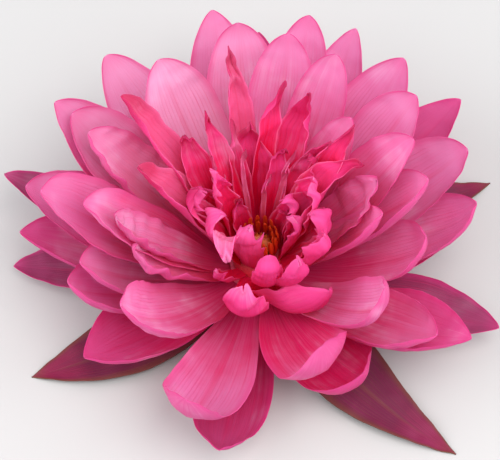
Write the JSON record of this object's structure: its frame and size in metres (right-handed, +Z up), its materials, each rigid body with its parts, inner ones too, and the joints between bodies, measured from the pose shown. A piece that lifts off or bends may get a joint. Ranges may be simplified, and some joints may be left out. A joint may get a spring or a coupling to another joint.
{
  "type": "water lily flower",
  "caption": "Open double water lily flower as picked: pointed pink petals in layers over drooping sepals, deep rose inner petals curling round orange stamens.",
  "frame": {"origin": "centre of the cut stem end, on the surface that the flower rests on", "axes": "+Z up along the flower's axis; -Y towards the side with the wide gap between the front petals, +X to that viewer's right"},
  "size_m": [0.1583, 0.1495, 0.066],
  "materials": {
    "receptacle": "green waxy stem tissue, brownish at the cut",
    "sepal": "dusky purple-pink inside, olive bronze outside, satin",
    "pink_petal": "satin pink, paler at the margins, deeper at the base, with fine lengthwise veins",
    "rose_petal": "deep rose red at the base, bright pink at the folded tips, satin",
    "stamen": "orange red, yellow at the tips, matt",
    "stigma": "golden yellow, matt"
  },
  "bodies": {
    "root": {"receptacle": "receptacle", "sepals": "sepal", "pink_petals": "pink_petal", "rose_petals": "rose_petal", "stamens": "stamen", "stigma_disc": "stigma"}
  },
  "joints": []
}
